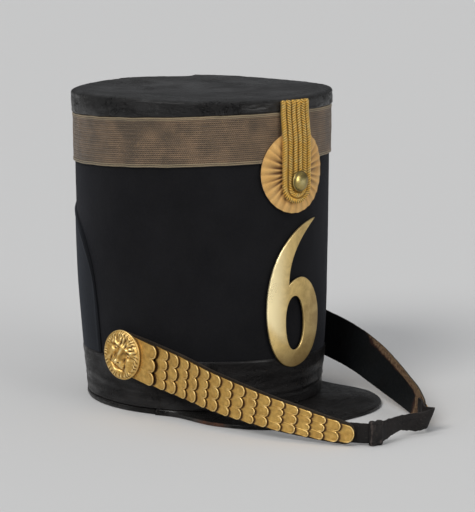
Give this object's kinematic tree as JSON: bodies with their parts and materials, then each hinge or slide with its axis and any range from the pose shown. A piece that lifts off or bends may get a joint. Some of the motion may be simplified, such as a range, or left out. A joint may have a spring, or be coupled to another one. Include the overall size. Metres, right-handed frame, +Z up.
{
  "type": "shako",
  "caption": "Tall black cloth military cap with a flat leather peak, woven lace band, pleated cockade, brass numeral and scaled chin straps laid out ahead.",
  "frame": {"origin": "middle of the footprint of the cap and its laid-out straps, on the table it stands on", "axes": "+Z up, -Y the way the front faces, +X the wearer's left"},
  "size_m": [0.2192, 0.3438, 0.2527],
  "materials": {
    "black_cloth": "dense black woollen cloth with a fine nap",
    "blue_cloth": "thinner blue-black cloth",
    "black_leather": "blackened leather, creased and worn brown at its edges",
    "worn_leather": "dark brown leather, dry and scuffed",
    "tarnished_lace": "woven metallic lace, tarnished brown",
    "gold_silk": "pleated golden silk ribbon, slightly faded",
    "gold_cord": "twisted gold thread cord",
    "brass": "plain brass with an aged satin polish",
    "gilt": "stamped brass, matt gilt with brighter edges"
  },
  "bodies": {
    "root": {"crown_cloth": "black_cloth", "neck_flap": "blue_cloth", "top_leather": "black_leather", "head_band": "black_leather", "lower_binding": "black_leather", "peak": "black_leather", "lace_band": "tarnished_lace", "cockade": "gold_silk", "loop_cord_1": "gold_cord", "loop_cord_2": "gold_cord", "loop_cord_3": "gold_cord", "button": "brass", "numeral": "brass", "boss_right": "gilt", "boss_left": "gilt", "strap_backing_right": "worn_leather", "strap_backing_left": "worn_leather", "tie_strap": "worn_leather", "tie_keeper": "worn_leather", "scale_right_01": "gilt", "scale_right_02": "gilt", "scale_right_03": "gilt", "scale_right_04": "gilt", "scale_right_05": "gilt", "scale_right_06": "gilt", "scale_right_07": "gilt", "scale_right_08": "gilt", "scale_right_09": "gilt", "scale_right_10": "gilt", "scale_right_11": "gilt", "scale_right_12": "gilt", "scale_right_13": "gilt", "scale_right_14": "gilt", "scale_right_15": "gilt", "scale_right_16": "gilt", "scale_right_17": "gilt", "scale_left_01": "gilt", "scale_left_02": "gilt", "scale_left_03": "gilt", "scale_left_04": "gilt", "scale_left_05": "gilt", "scale_left_06": "gilt", "scale_left_07": "gilt", "scale_left_08": "gilt", "scale_left_09": "gilt", "scale_left_10": "gilt", "scale_left_11": "gilt", "scale_left_12": "gilt", "scale_left_13": "gilt", "scale_left_14": "gilt", "scale_left_15": "gilt", "scale_left_16": "gilt", "scale_left_17": "gilt"}
  },
  "joints": []
}
